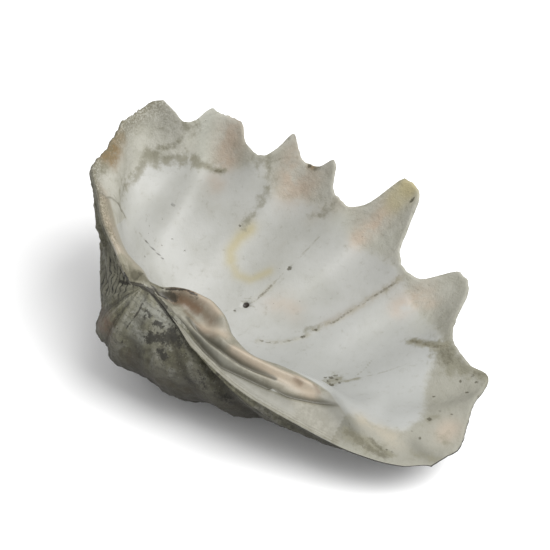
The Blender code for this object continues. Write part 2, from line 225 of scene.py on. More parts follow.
# Marks on the inner face: half width, strength and route in X and Y from the beak.
INNER_MARKS = {
    "stain": (
        (9, 1.0, (-121, 210), (-116, 213), (-108, 211)),
        (6, 0.9, (-118, 200), (-117, 188), (-116, 178)),
        (5, 0.6, (-116, 174), (-116, 150), (-109, 132)),
        (6, 0.9, (-101, 214), (-87, 225), (-78, 234)), (5, 0.9, (-72, 243), (-64, 255), (-53, 260)),
        (3.5, 1.0, (-53, 260), (-42, 262), (-32, 264)),
        (5, 0.6, (-115, 222), (-107, 227), (-100, 232), (-94, 242)),
        (11, 0.7, (-99, 248), (-93, 254)), (6, 0.6, (4, 276), (16, 286), (22, 281)),
        (6, 0.7, (29, 278), (30, 262), (29, 240)), (5, 0.6, (98, 279), (110, 282), (115, 288)),
        (12, 1.3, (-6, 8), (-22, 10)), (10, 0.9, (-28, 12), (-44, 20)),
        (9, 1.0, (-4, 14), (14, 16)), (6, 1.0, (297, 195), (313, 190), (340, 189)),
        (12, 1.1, (336, 186), (346, 180), (358, 172)), (8, 1.0, (370, 174), (386, 176), (403, 178)),
        (7, 0.7, (371, 78), (375, 84)), (8, 0.7, (380, 20), (405, 30)),
        (10, 0.9, (322, -4), (352, 2)), (9, 0.8, (300, -14), (330, -12)),
        (7, 0.6, (-146, 98), (-141, 130)), (10, 0.5, (404, 61), (400, 66)),
        (6, 0.6, (176, 168), (188, 178)), (5, 0.5, (240, 254), (232, 243)),
        (8, 1.0, (242, 96), (247, 110)), (4, 0.6, (252, 104), (268, 117)),
    ),
    "dirt": (
        (9, 1.2, (-20, 10), (-14, 13), (-3, 12)), (7, 0.9, (-36, 12), (-20, 8)),
        (6, 1.0, (-3, 12), (12, 12)), (8, 0.9, (302, -10), (325, -10), (351, -6)),
        (6, 0.8, (328, 5), (345, 0)), (8, 0.7, (340, 184), (352, 176)),
        (4, 0.8, (299, 195), (330, 187)), (5, 0.6, (386, 176), (404, 178)),
        (4, 0.7, (346, -4), (328, -10)), (3, 0.8, (66, 318), (70, 319)),
    ),
    "pink": (
        (14, 1.0, (-52, 296), (-46, 284), (-36, 274)), (12, 0.55, (-38, 254), (-30, 250)),
        (16, 0.9, (40, 305), (50, 299), (68, 301)), (11, 1.0, (174, 318), (171, 306), (163, 291)),
        (12, 0.9, (277, 260), (269, 247), (259, 233)), (10, 0.7, (290, 256), (280, 258)),
        (13, 0.5, (118, 180), (131, 192), (149, 187)), (13, 0.7, (398, 78), (396, 70)),
        (12, 0.5, (-90, 52), (-60, 31)), (10, 0.4, (-124, 96), (-112, 70)),
    ),
    "cream": (
        (13, 0.8, (306, 25), (325, 27), (350, 26)), (11, 0.8, (-68, 34), (-47, 24), (-30, 14)),
        (14, 0.8, (-86, 46), (-104, 60)), (10, 0.5, (100, 281), (140, 300)),
    ),
    "white": (
        (15, 1.0, (-84, 276), (-78, 268), (-68, 262)), (12, 0.5, (290, 232), (300, 214)),
        (12, 0.5, (200, 292), (184, 300)), (9, 0.6, (126, 282), (150, 290)),
    ),
    "yellow": (
        (12, 1.0, (177, 343), (188, 343)), (9, 0.7, (172, 333), (184, 332)),
        (8, 0.9, (38, 243), (32, 228), (32, 211), (40, 203)),
        (6, 0.7, (40, 203), (58, 193), (76, 195), (90, 212)),
    ),
    "ochre": (
        (12, 1.4, (-153, 142), (-151, 162)), (9, 1.2, (-146, 160), (-142, 146)),
        (8, 0.9, (-156, 174), (-153, 180)), (2.5, 1.0, (57, 319), (66, 319)),
        (6, 0.35, (240, 254), (215, 216), (191, 182)),
    ),
    # The brown marks are stains on the swelling, partly painted shade on the face below its crest.
    "brown": (
        (4, 1.0, (28, 20), (42, 23), (54, 25)), (7, 1.2, (34, 13), (54, 15), (70, 15)),
        (5, 0.7, (76, 15), (92, 10)), (3, 0.8, (214, 2), (222, 2)), (2.5, 0.7, (236, 10), (246, 8)),
        (4, 0.5, (60, 4), (84, -4), (104, -7)),
    ),
    "beige": (
        (8, 1.0, (136, -10), (166, -8), (188, -6), (211, -2), (240, 2)),
        (9, 0.8, (88, -1), (112, 2)), (6, 0.9, (50, 27), (76, 26), (92, 20)),
        (4, 1.0, (213, 6), (232, 7)),
    ),
    "pale_grey": (
        (6, 0.9, (130, -33), (160, -38), (193, -40), (230, -30)), (5, 0.8, (60, -16), (110, -29)),
    ),
    "dark_grey": (
        (15, 1.1, (264, 6), (289, -2), (301, -7)), (10, 0.6, (374, 35), (397, 25), (408, 30)),
        (6, 0.75, (84, -22), (113, -27), (136, -30), (160, -32), (190, -30), (220, -24)),
    ),
    # The pit marks are a painted shadow under the hinge ledge by the beak.
    "pit": (
        (6, 1.2, (16, 10), (38, 13)), (3.5, 1.1, (4, 1), (20, 6)), (3, 0.8, (26, 21), (44, 23)),
        (2.5, 0.6, (54, 21), (62, 22)),
    ),
}
# The deep hole, and the ends of the fine cracks that start at it.
HOLE = (91, 165)
HOLE_CRACKS = ((80, 168), (84, 174), (90, 177), (97, 174), (102, 168))
# Thin dark lines in plan: broken ones along the folds, fine ones, scratches and the front crack.
BROKEN_LINES = (
    ((133, 127), (150, 132), (163, 140), (171, 149), (178, 156), (186, 171), (191, 182), (201, 188),
     (209, 206), (222, 228), (240, 253)), ((297, 195), (313, 190), (326, 186), (338, 189)),
    ((97, 175), (102, 190), (104, 201)), ((-53, 260), (-42, 262), (-32, 264)),
)
FINE_LINES = (
    ((244, 94), (258, 107), (267, 117), (279, 127), (293, 139), (312, 160)),
    ((265, 121), (269, 139), (270, 158)), ((104, 201), (108, 219), (121, 264)),
    ((-70, 135), (-58, 141)),
    *((HOLE, end) for end in HOLE_CRACKS),
)
SCRATCHES = (((-60, 140), (-49, 144), (-37, 146), (-31, 146)), ((-64, 198), (-59, 202)))
CRACK = ((-124, 60), (-119, 72), (-114, 84), (-112, 101), (-103, 112), (-99, 126), (-93, 126))
# Small pits: X, Y, radius and depth.
DOTS = (
    (83, 152, 2.4, 0.8), (104, 153, 1.6, 0.4), (111, 225, 3.0, 0.9), (24, 236, 1.8, 0.5),
    (-74, 155, 1.3, 0.2), (-68, 156, 1.3, 0.2), (-62, 149, 1.3, 0.2), (-56, 153, 1.3, 0.2),
    (-51, 155, 1.3, 0.2), (-43, 157, 1.4, 0.2), (-62, 178, 1.3, 0.2), (-16, 173, 1.7, 0.4),
    (-38, 174, 1.5, 0.3), (-49, 126, 1.2, 0.2), (167, 297, 1.7, 0.3), (197, 335, 2.6, 0.6),
    (240, 108, 3.4, 1.4), (246, 94, 3.6, 1.4), (253, 102, 2.4, 0.9), (240, 99, 2.4, 0.9),
    (243, 114, 2.2, 0.6), (248, 107, 1.8, 0.4), (234, 104, 1.8, 0.4), (360, 126, 1.9, 0.6),
    (376, 96, 1.8, 0.6), (390, 97, 1.7, 0.6), (371, 78, 3.2, 0.5), (377, 161, 2.0, 0.7),
    (391, 148, 2.2, 0.7), (406, 142, 2.2, 0.5), (349, 6, 1.8, 0.5), (356, 7, 1.6, 0.4),
    (343, 2, 1.6, 0.4), (374, 47, 2.2, 0.4), (362, 50, 1.5, 0.3), (394, 166, 1.9, 0.5),
    (386, 172, 1.8, 0.4), (58, 319, 2.6, 0.5), (178, 156, 3.0, 0.8), (187, 172, 2.4, 0.6),
    (-15, 16, 3.0, 0.4), (296, -2, 1.8, 0.4),
)
# Marks on the outside: reach, strength and route in X, Y and Z from the beak.
OUTER_MARKS = {
    "outer_dark": (
        (10, 1.2, (43, -44, -21), (56, -38, -14), (66, -33, -10)),
        (8, 1.2, (63, -49, -26), (69, -51, -29)), (5, 1.0, (22, -24, -7), (28, -27, -8)),
        (4, 0.9, (25, -31, -11), (24, -30, -10)), (6, 1.0, (38, -31, -8), (47, -29, -8)),
        (8, 1.0, (60, -26, -8), (78, -34, -12)), (8, 0.9, (109, -48, -40), (118, -48, -43)),
        (7, 0.8, (117, -46, -24), (131, -49, -38)), (10, 0.9, (150, -44, -40), (166, -36, -42)),
        (7, 0.7, (8, -14, -8), (2, -20, -16)),
    ),
    "outer_pale": (
        (12, 1.0, (18, -24, -8), (30, -22, -4), (46, -24, -5)),
        (10, 0.9, (14, -40, -24), (34, -46, -28)), (6, 0.9, (8, -16, -6), (-6, -24, -16)),
        (8, 0.5, (84, -50, -46), (104, -50, -50)), (6, 0.6, (38, -14, -3), (68, -27, -2)),
    ),
    "outer_ochre": (
        (22, 0.9, (51, -48, -87), (93, -52, -73), (116, -44, -69)),
        (14, 0.8, (30, -52, -67), (28, -47, -88)), (16, 0.6, (129, -40, -70), (165, -36, -55)),
        (10, 0.4, (-6, -50, -50), (8, -52, -62)),
    ),
    "outer_pink": (
        (13, 1.0, (-28, -29, -62), (-15, -46, -53), (-17, -46, -43)),
    ),
}
# The dark seam round the beak: on the outside, and its continuation in plan on the inner face.
OUTER_SEAMS = (
    (2.6, 1.2, (-30, 0, -18), (-19, -4, -10), (1, -3, 0), (10, -2, 0), (24, -6, 0), (38, -11, -2),
     (54, -17, -2), (68, -25, 0), (102, -37, -4), (150, -46, -5)),
    (1.8, 0.9, (10, -6, -2), (14, -30, -10), (12, -44, -26), (16, -54, -48)),
    (1.6, 0.8, (-6, -12, -4), (-14, -28, -14), (-16, -42, -34)),
)
INNER_SEAMS = (
    (3.0, 1.3, (-30, 2), (-19, -2), (-10, -3), (1, -1), (10, 0), (24, -3), (38, -9)),
    (1.8, 0.9, (16, 15), (30, 19), (44, 24), (60, 24)), (1.8, 0.9, (4, 6), (18, 6), (30, 9)),
)


def through(points, x):
    """Smooth curve through the points that never swings past them."""
    xs = np.array([p[0] for p in points], float)
    ys = np.array([p[1] for p in points], float)
    step = np.diff(xs)
    slope = np.diff(ys) / step
    tangent = np.zeros_like(ys)
    product = slope[:-1] * slope[1:]
    mean = 2 * product / np.where(product > 0, slope[:-1] + slope[1:], 1.0)
    tangent[1:-1] = np.where(product > 0, mean, 0.0)
    tangent[0] = slope[0]
    tangent[-1] = slope[-1]
    x = np.clip(np.asarray(x, float), xs[0], xs[-1])
    i = np.clip(np.searchsorted(xs, x) - 1, 0, len(xs) - 2)
    t = (x - xs[i]) / step[i]
    return ((2 * t**3 - 3 * t**2 + 1) * ys[i] + (t**3 - 2 * t**2 + t) * step[i] * tangent[i]
            + (3 * t**2 - 2 * t**3) * ys[i + 1] + (t**3 - t**2) * step[i] * tangent[i + 1])


def ramp(x):
    """Smooth step from 0 to 1 as x goes from 0 to 1."""
    x = np.clip(x, 0, 1)
    return x * x * (3 - 2 * x)


def mound(gap, height, width):
    """Bell-shaped height at a distance from its middle."""
    return height * np.exp(-((gap / width) ** 2))


def smooth_max(a, b, width):
    """The higher of two heights, with the crease between them rounded."""
    near = np.clip(width - np.abs(a - b), 0, None)
    return np.maximum(a, b) + near * near / (4 * width)


def coil_angle(stage):
    """Angle about the hinge line that the wall has turned through at a growth stage."""
    free = COIL * np.log(1 / np.maximum(stage, 1e-9))
    ease = math.radians(CURL_EASE)
    room = math.radians(CURL_LIMIT) - ease
    return np.where(free < ease, free, ease + room * (1 - np.exp((ease - free) / room)))


def smooth_wall(bearing, stage):
    """Point of the outer wall before the ribs are raised on it."""
    reach = through(OUTLINE, bearing)
    along = reach * np.cos(np.radians(bearing))
    radius = stage * reach * np.sin(np.radians(bearing))
    angle = coil_angle(stage)
    rear = (1 + np.tanh(along / (2 * STRETCH_BLEND))) / 2
    stretch = FRONT_STRETCH + (REAR_STRETCH - FRONT_STRETCH) * rear
    x = along * np.maximum(stage, 1e-9) ** stretch
    x = x + BEAK_TWIST * radius * np.sin(np.maximum(angle, 0))
    back = through(BACK_EDGE, x) * (1 - ramp((bearing - FIRST_BEARING) / BACK_EDGE_FADE))
    depth = -radius * np.sin(angle) * through(BELLY, bearing)
    return np.stack([x, radius * np.cos(angle) + back, depth], -1)


def rib_count(turns, bearing):
    """Number of rib turns passed between the rear end and this bearing."""
    return through(tuple((place, number) for number, place in enumerate(turns)), bearing)


def rib_wave(bearing, stage):
    """1 on a rib's crest and -1 in a furrow, flatter towards both ends of the hinge."""
    young = rib_count(YOUNG_RIB_TURNS, bearing)
    grown = rib_count(RIB_TURNS, bearing)
    share = ramp((stage - RIB_DRIFT[0]) / (RIB_DRIFT[1] - RIB_DRIFT[0]))
    wave = -np.cos(np.pi * (young + (grown - young) * share))
    last_full = YOUNG_FULL_RIBS + (FULL_RIBS[1] - YOUNG_FULL_RIBS) * share
    rear = ramp(1 - (FULL_RIBS[0] - bearing) / RIB_EASE[0])
    front = ramp(1 - (bearing - last_full) / RIB_EASE[1])
    rear_edge = ramp((bearing - FIRST_BEARING) / END_RIB_EASE[0])
    front_edge = ramp((LAST_BEARING - bearing) / END_RIB_EASE[1])
    return wave * (END_RIB_SHARE + (1 - END_RIB_SHARE) * rear * front) * rear_edge * front_edge


def outward(bearing, stage):
    """Direction square to the smooth wall, away from the hollow."""
    here = smooth_wall(bearing, stage)
    across = smooth_wall(bearing + SMALL_TURN, stage) - here
    along = smooth_wall(bearing, stage * SMALL_GROWTH) - here
    normal = np.cross(across, along)
    return normal / (np.linalg.norm(normal, axis=-1, keepdims=True) + 1e-12)


def raised(bearing, stage, rib_share=1.0, depth=0.0):
    """Point of the smooth wall with this share of its ribs, sunk by a depth."""
    lift = RIB_HEIGHT * stage ** RIB_GROWTH * rib_wave(bearing, stage) * rib_share - depth
    return smooth_wall(bearing, stage) + outward(bearing, stage) * lift[..., None]


def inner_sheet(bearing, stage):
    """Point of the wall's inner face, before the hinge plate and the lip are added."""
    rear = ramp((bearing - FIRST_BEARING) / WALL_START)
    front = ramp((LAST_BEARING - bearing) / WALL_START)
    depth = through(WALL, stage) * rear * front
    return raised(bearing, stage, through(INNER_RIB, stage), depth)


def column_bearings(count):
    """Bearings of the columns, closer together over the narrow rear of the hinge."""
    rear = int(count * REAR_COLUMN_SHARE)
    first = np.linspace(FIRST_BEARING, REAR_BEARINGS, rear + 1)[:-1]
    return np.concatenate([first, np.linspace(REAR_BEARINGS, LAST_BEARING, count - rear)])


def row_settling(rows):
    """How much of the rim's own notches each row still follows: 1 at the rim, 0 further in."""
    return ramp(1 - np.arange(rows) / (SETTLE * rows))[:, None]


def chipped(bearings):
    """Small nicks and crumbs of the rim, as a share of the distance from the beak."""
    nicks = np.array([noise.noise(Vector((b * 0.9, 3.1, 0))) for b in bearings])
    crumbs = np.array([noise.noise(Vector((b * 2.6, 7.7, 0))) for b in bearings])
    front = ramp((bearings - FRONT_CRUMBS[0]) / 8) * ramp((FRONT_CRUMBS[1] - bearings) / 10)
    return 0.004 * nicks + 0.0015 * crumbs + front * (0.007 * nicks + 0.007 * crumbs)


def outer_stages(bearings, rows, chips):
    """Growth stage of each row and column of the outer wall, rim first."""
    notched = through(RIM_GROWTH, bearings) + chips - EVEN_STAGE
    share = (1 - np.arange(rows) / rows) ** OUTER_ROW_EASE
    return share[:, None] * (EVEN_STAGE + row_settling(rows) * notched)


def inner_plan(outer, bearings):
    """Plan positions of the inner face: rays from rim to beak, drawn out to both end columns."""
    rows = len(outer)
    plan = outer[:, :, :2]
    rim = plan[0]
    even = 1 - (np.arange(rows) / rows) ** INNER_ROW_EASE
    rear_share = plan[:, 0, 0] / rim[0, 0]
    front_share = np.linalg.norm(plan[:, -1], axis=-1) / np.linalg.norm(rim[-1])
    near_rear = 1 - ramp((bearings - FIRST_BEARING) / END_BLEND)
    near_front = 1 - ramp((LAST_BEARING - bearings) / END_BLEND)
    share = (even[:, None] * (1 - near_rear - near_front)
             + rear_share[:, None] * near_rear + front_share[:, None] * near_front)
    rear_gap = plan[:, 0] - rear_share[:, None] * rim[0]
    front_gap = plan[:, -1] - front_share[:, None] * rim[-1]
    even_rim = smooth_wall(bearings, np.full(len(bearings), EVEN_STAGE))[:, :2]
    settling = np.maximum(row_settling(rows), np.maximum(near_rear, near_front))
    goal = even_rim + settling[..., None] * (rim - even_rim)
    return (share[..., None] * goal
            + near_rear[None, :, None] * rear_gap[:, None]
            + near_front[None, :, None] * front_gap[:, None])


def nearest_on_route(points, route):
    """Distance from each point to a route, in plan or in space, and the place along it."""
    size = points.shape[-1]
    best = np.full(points.shape[:-1], 1e9)
    place = np.zeros(points.shape[:-1])
    for i in range(len(route) - 1):
        start = np.asarray(route[i][:size], float)
        run = np.asarray(route[i + 1][:size], float) - start
        share = np.clip(((points - start) @ run) / (run @ run + 1e-12), 0, 1)
        gap = np.linalg.norm(points - start - share[..., None] * run, axis=-1)
        closer = gap < best
        best = np.where(closer, gap, best)
        place = np.where(closer, i + share, place)
    return best, place


def plate_height(points, gap, edge_level):
    """Top of the hinge plate and of the narrow ledge that carries on from it to both ends."""
    level = edge_level + (PLATE_LEVEL - edge_level) * ramp(gap / PLATE_SETTLING) + PLATE_RISE * gap
    for _, height, width, route in PLATE_FORMS:
        distance, along = nearest_on_route(points, route)
        ends = ramp(np.minimum(along, len(route) - 1 - along) / FORM_END)
        level = level + ends * mound(distance, height, width)
    past = points[..., 1] - through(PLATE_EDGE, points[..., 0]) + PLATE_ROUNDING
    soft = np.where(past > 0, past**2 / (past + 3 * PLATE_ROUNDING), 0.0)
    return level - through(PLATE_SLOPE, points[..., 0]) * soft


def sheet_tree(bearings, rows):
    """Search tree of the inner sheet, which runs a little past the rim."""
    stages = np.linspace(*SHEET_STAGES, rows)
    grid = inner_sheet(*np.broadcast_arrays(bearings[None, :], stages[:, None]))
    faces = quads(np.arange(rows * len(bearings)).reshape(rows, -1))
    return BVHTree.FromPolygons(grid.reshape(-1, 3).tolist(), faces.tolist())


def sheet_height(tree, points):
    """Height of the inner sheet over each plan point, seen from above."""
    down = Vector((0, 0, -1))
    flat = points.reshape(-1, 2)
    heights = np.full(len(flat), BELOW_ALL)
    for n, (x, y) in enumerate(flat):
        hit = tree.ray_cast(Vector((x, y, ABOVE_ALL)), down)[0]
        if hit is not None:
            heights[n] = hit.z
    return heights.reshape(points.shape[:-1])


def inner_grid(outer, bearings):
    """Inner face on its rows and columns, the plate's share of it, and the gap to the edge."""
    points = inner_plan(outer, bearings)
    bowl = sheet_height(sheet_tree(column_bearings(SHEET_SIZE[0]), SHEET_SIZE[1]), points)
    rim = outer[0]
    rim_gap, place = nearest_on_route(points, rim)
    wall = np.clip(bowl[0] - rim[:, 2], 0, LIP_DROP)
    missing = np.interp(place, np.arange(len(rim)), wall)
    round_off = np.sqrt(1 - np.clip(1 - rim_gap / LIP_WIDTH, 0, 1) ** 2)
    bowl = bowl - missing * (1 - round_off)
    edge = np.concatenate([outer[:, 0], outer[::-1, -1]])
    gap, place = nearest_on_route(points, edge)
    plate = plate_height(points, gap, np.interp(place, np.arange(len(edge)), edge[:, 2]))
    blend = PLATE_BLEND + LEDGE_BLEND * ramp((LEDGE_START - points[..., 0]) / LEDGE_BLEND)
    height = smooth_max(bowl, plate, blend)
    share = ramp((plate - bowl) / PLATE_BLEND + 0.5)
    return np.concatenate([points, height[..., None]], -1), share, gap, rim_gap


def quads(index):
    """Corner numbers of the quads between the rows and columns of a grid."""
    corners = (index[:-1, :-1], index[:-1, 1:], index[1:, 1:], index[1:, :-1])
    return np.stack(corners, -1).reshape(-1, 4)


def resting_turn():
    """Rotation from the valve's own frame to the resting pose."""
    dip = math.radians(REAR_DIPS)
    rise = math.radians(MARGIN_RISES)
    up = Vector((-math.sin(dip), math.cos(dip) * math.sin(rise), math.cos(dip) * math.cos(rise)))
    along = (Vector((1, 0, 0)) - up * up.x).normalized()
    level = Matrix((along, up.cross(along), up))
    return np.array(Matrix.Rotation(math.radians(TURN), 3, "Z") @ level)


def resting_place():
    """Centre and floor of the solid in the turned frame, in millimetres."""
    bearings = column_bearings(COLUMNS)
    stage = outer_stages(bearings, ROWS, 0)
    outer = raised(np.broadcast_to(bearings, stage.shape), stage)
    turned = outer.reshape(-1, 3) @ resting_turn().T
    low = turned.min(axis=0)
    high = turned.max(axis=0)
    return np.array([(low[0] + high[0]) / 2, (low[1] + high[1]) / 2, low[2] + WORN])


class Valve:
    """The fine grids, flattened to one list of points with their own measures."""

    def __init__(self):
        bearings = column_bearings(FINE_COLUMNS)
        stage = outer_stages(bearings, FINE_ROWS, chipped(bearings))
        spread = np.broadcast_to(bearings, stage.shape)
        outer = raised(spread, stage)
        inner, plate, gap, rim_gap = inner_grid(outer, bearings)
        count = stage.size
        index = np.arange(count).reshape(stage.shape)
        inside = index.copy()
        inside[1:, 1:-1] = count + 1 + np.arange((FINE_ROWS - 1) * (FINE_COLUMNS - 2)).reshape(
            FINE_ROWS - 1, FINE_COLUMNS - 2)
        core = (slice(1, None), slice(1, -1))
        self.beak = count
        self.points = np.concatenate([outer.reshape(-1, 3), np.zeros((1, 3)),
                                      inner[core].reshape(-1, 3)])
        self.faces = (quads(index)[:, ::-1], quads(inside))
        self.fans = (index[-1], inside[-1])
        self.side = np.concatenate([np.ones(count + 1), np.zeros(inner[core].size // 3)])
        self.bearing = self.both(spread, spread[core], 90.0)
        self.stage = self.both(stage, stage[core], 0.0)
        self.plate = self.both(np.ones_like(plate), plate[core], 1.0)
        self.gap = self.both(np.zeros_like(gap), gap[core], 0.0)
        self.rim_gap = self.both(np.linalg.norm(outer - outer[:1], axis=-1), rim_gap[core], 300.0)

    def both(self, outer_values, inner_values, at_beak):
        """One value per point: outer grid, beak, inner grid."""
        return np.concatenate([outer_values.ravel(), [at_beak], inner_values.ravel()])

    def mesh(self, points):
        """Mesh object data of the closed valve."""
        faces = self.faces[0].tolist() + self.faces[1].tolist()
        for fan, flip in zip(self.fans, (True, False)):
            for a, b in zip(fan[:-1], fan[1:]):
                faces.append((int(b), int(a), self.beak) if flip else (int(a), int(b), self.beak))
        mesh = bpy.data.meshes.new("clam_valve_surface")
        mesh.from_pydata(points.tolist(), [], faces)
        return mesh


def speckle(points, size, seed, octaves=1):
    """Smooth noise at the points with features of about this size, from -1 to 1."""
    total = np.zeros(len(points))
    weight = 1.0
    for octave in range(octaves):
        place = points / size * 2**octave + seed * 17.3
        total += weight * np.array([noise.noise(Vector(p)) for p in place])
        weight *= 0.5
    return total


def vertex_normals(valve):
    """Directions square to the fine surface."""
    mesh = valve.mesh(valve.points)
    normals = np.empty(len(valve.points) * 3, np.float32)
    mesh.vertex_normals.foreach_get("vector", normals)
    bpy.data.meshes.remove(mesh)
    return normals.reshape(-1, 3)


def route_gap(valve, routes):
    """Plan distance from each inner point to the nearest of the routes; far away outside."""
    gap = np.full(len(valve.points), FAR)
    inside = valve.side < 0.5
    for route in routes:
        near = nearest_on_route(valve.points[inside, :2], route)[0]
        gap[inside] = np.minimum(gap[inside], near)
    return gap


def signed_pallial(valve):
    """Distance across the pallial line: positive on the marginal band, negative in the bowl."""
    plan = valve.points[:, :2]
    loop = np.array(PALLIAL, float)
    gap = nearest_on_route(plan, PALLIAL)[0]
    inside = np.zeros(len(plan), bool)
    closed = np.concatenate([loop, BEHIND_HINGE, loop[:1]])
    for a, b in zip(closed[:-1], closed[1:]):
        spans = (a[1] > plan[:, 1]) != (b[1] > plan[:, 1])
        rise = b[1] - a[1] if b[1] != a[1] else 1e-9
        crossing = a[0] + (plan[:, 1] - a[1]) / rise * (b[0] - a[0])
        inside ^= spans & (plan[:, 0] < crossing)
    return np.where(inside, -gap, gap)


def outer_relief(valve):
    """Growth steps, fine radial riblets and lumps of the weathered outside."""
    stage = valve.stage
    lumps = speckle(valve.points, 46.0, 1, 3)
    knots = speckle(valve.points, 14.0, 9, 2)
    worn = ramp(speckle(valve.points, 30.0, 2, 2) * 2.2 + 0.2)
    phase = GROWTH_STEPS * stage**STEP_CROWDING + 0.9 * lumps
    step = phase - np.floor(phase)
    growth = (step**3) * (0.15 + 1.2 * stage)
    riblets = np.sin(np.radians(valve.bearing) * RIBLETS + 3.0 * lumps + 0.8 * knots)
    riblets = riblets * 0.5 * ramp(stage / 0.3) * ramp((0.9 - stage) / 0.5)
    relief = 1.1 * lumps * ramp(stage / 0.2) + 0.8 * knots + (growth + riblets) * (1 - 0.8 * worn)
    young = ramp(stage / 0.12) * ramp((0.8 - stage) / 0.4)
    return relief - 0.9 * worn - YOUNG_RIB_WEAR * young * rib_wave(valve.bearing, stage)


def wrinkles(valve):
    """Mask and height of the wrinkled field in front of the beak."""
    reach = np.linalg.norm((valve.points - WRINKLE_CENTRE) / WRINKLE_REACH, axis=-1)
    mask = ramp(1.5 - reach) * valve.side
    bends = 2.6 * speckle(valve.points, 22.0, 5) + 1.6 * speckle(valve.points, 8.0, 6)
    folds = np.sin(valve.points @ WRINKLE_RUN + bends)
    return mask, WRINKLE_HEIGHT * np.abs(folds) ** 0.7


def inner_relief(valve, pallial):
    """Rough marginal band, the step at the pallial line, creases, pits and plate laminae."""
    band = ramp(pallial / 8 + 0.3)
    plan = valve.points[:, :2]
    rough = speckle(valve.points, 11.0, 3, 2) * 0.4 + speckle(valve.points, 34.0, 4, 2) * 0.9
    soft = speckle(valve.points, 70.0, 6)
    relief = band * rough + soft - LINING_STEP * ramp(pallial / 3)
    relief += mound(route_gap(valve, BROKEN_LINES[:1]), *FOLD_CREASE)
    relief -= mound(route_gap(valve, (CRACK,)), *CRACK_CUT)
    hole = np.linalg.norm(plan - HOLE, axis=-1)
    relief -= HOLE_CUT[0] * ramp(1.3 - hole / HOLE_CUT[1])
    for x, y, radius, depth in DOTS:
        relief -= mound(np.linalg.norm(plan - (x, y), axis=-1), depth, radius)
    laminae = np.sin(valve.gap * LAMINA_TURN + 1.8 * speckle(valve.points, 30.0, 8))
    relief += valve.plate * ramp((14 - valve.gap) / 8) * laminae * LAMINA_HEIGHT
    return relief * ramp(valve.rim_gap / 4)


def wall_thickness(valve):
    """Distance from each point of one face of the wall to the other face."""
    points = valve.points.tolist()
    thickness = np.empty(len(points))
    for side, faces in ((1.0, valve.faces[1]), (0.0, valve.faces[0])):
        tree = BVHTree.FromPolygons(points, faces.tolist())
        for index in np.flatnonzero(valve.side == side):
            thickness[index] = tree.find_nearest(points[index])[3]
    return thickness


def relief_points(valve, pallial):
    """The fine points with their relief."""
    mask, folds = wrinkles(valve)
    outside = outer_relief(valve) * (1 - mask) + folds * mask
    amount = np.where(valve.side > 0.5, outside * ramp(valve.rim_gap / 10),
                      inner_relief(valve, pallial))
    amount = amount * ramp(np.linalg.norm(valve.points, axis=-1) / 12)
    thickness = wall_thickness(valve)
    amount = np.clip(amount, -INWARD_SHARE * thickness, thickness)
    return valve.points + vertex_normals(valve) * amount[:, None]


def strokes(valve, marks, outside=False):
    """Soft marks on one face, in plan on the inner one: the strongest at each point."""
    best = np.zeros(len(valve.points))
    face = (valve.side > 0.5) == outside
    points = valve.points[face] if outside else valve.points[face, :2]
    for width, strength, *route in marks:
        gap = nearest_on_route(points, route)[0]
        best[face] = np.maximum(best[face], mound(gap, strength, width))
    return best


def dot_depth(valve):
    """How far inside the nearest small pit each inner point is, in millimetres."""
    plan = valve.points[:, :2]
    depth = [radius - np.linalg.norm(plan - (x, y), axis=-1) for x, y, radius, _ in DOTS]
    return np.where(valve.side < 0.5, np.max(depth, 0), -FAR)


def make_valve(pallial, valve):
    """The fine valve in its resting pose, with the measures that its material uses."""
    points = relief_points(valve, pallial)
    place = resting_place()
    turned = points @ resting_turn().T
    belly = turned[:valve.beak]
    belly[:, 2] = np.maximum(belly[:, 2], place[2])
    mesh = valve.mesh((turned - place) * MM)
    mask, folds = wrinkles(valve)
    inside = 1 - valve.side
    along, across = valve.points[:, 0], valve.points[:, 1]
    bare = ramp((np.interp(along, *zip(*LINING_EDGE)) - across) / LINING_FADE + 0.5)
    hinge = ramp((along - PLATE_SPAN[0]) / PLATE_FADE) * ramp((PLATE_SPAN[1] - along) / PLATE_FADE)
    measures = {
        "side": valve.side,
        "stage": valve.stage,
        "plate": valve.plate * inside * hinge * bare,
        "front": ramp((valve.bearing - FRONT_RIM_BEARING) / 10) * inside,
        "ledge": bare * valve.plate * inside * ramp((4 - along) / 12),
        "rear": ramp((REAR_PAINT_BEARING - valve.bearing) / 40) * inside,
        "edge_gap": valve.gap,
        "rim_gap": valve.rim_gap,
        "pallial": pallial,
        # Rib wave that places the painted highlight on rib crests and the painted shade in furrows.
        "rib": rib_wave(valve.bearing, valve.stage) * ramp((0.95 - valve.stage) / 0.4),
        "wrinkled": mask,
        # Fold height, which also places the painted shade in the wrinkles' troughs.
        "fold": folds,
        "dot": dot_depth(valve),
        "seam": np.maximum(strokes(valve, OUTER_SEAMS, True), strokes(valve, INNER_SEAMS)),
    }
    lines = {
        "line_gap": BROKEN_LINES, "fine_gap": FINE_LINES, "scratch_gap": SCRATCHES,
        "crack_gap": (CRACK,), "hole_gap": ((HOLE, HOLE),),
        # Distance to the plate's grooves, which places their painted shade.
        "groove_gap": [form[3] for form in PLATE_FORMS if "groove" in form[0]],
    }
    measures.update({name: route_gap(valve, routes) for name, routes in lines.items()})
    measures.update({name: strokes(valve, marks) for name, marks in INNER_MARKS.items()})
    measures.update({name: strokes(valve, marks, True) for name, marks in OUTER_MARKS.items()})
    for name, values in measures.items():
        layer = mesh.attributes.new(name, "FLOAT", "POINT")
        layer.data.foreach_set("value", np.asarray(values, np.float32))
    piece = bpy.data.objects.new("clam_valve_fine", mesh)
    bpy.context.scene.collection.objects.link(piece)
    mesh.shade_smooth()
    return piece


